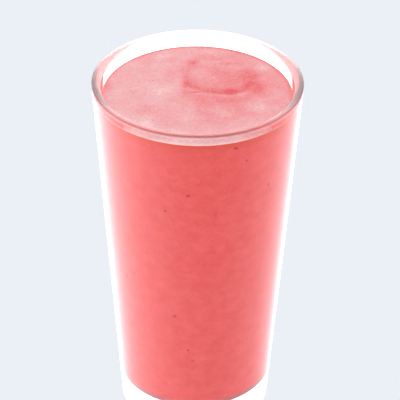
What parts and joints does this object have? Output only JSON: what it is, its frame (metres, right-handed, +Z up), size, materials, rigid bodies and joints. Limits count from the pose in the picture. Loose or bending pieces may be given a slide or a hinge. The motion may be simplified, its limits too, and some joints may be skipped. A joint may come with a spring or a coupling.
{
  "type": "strawberry frappe in a glass tumbler",
  "caption": "Tall tapered clear glass tumbler with a thick foot, filled nearly to the lip with smooth pink strawberry frappe.",
  "frame": {"origin": "middle of the tumbler's foot, on the surface that it stands on", "axes": "+Z up along the tumbler's axis; -Y towards the picture's viewer, +X to the right in the picture"},
  "size_m": [0.082, 0.082, 0.152],
  "materials": {
    "clear_glass": "polished soda-lime glass",
    "strawberry_frappe": "smooth wet blended fruit and milk, paler on its foamy top"
  },
  "bodies": {
    "root": {"glass_tumbler": "clear_glass", "frappe": "strawberry_frappe"}
  },
  "joints": []
}
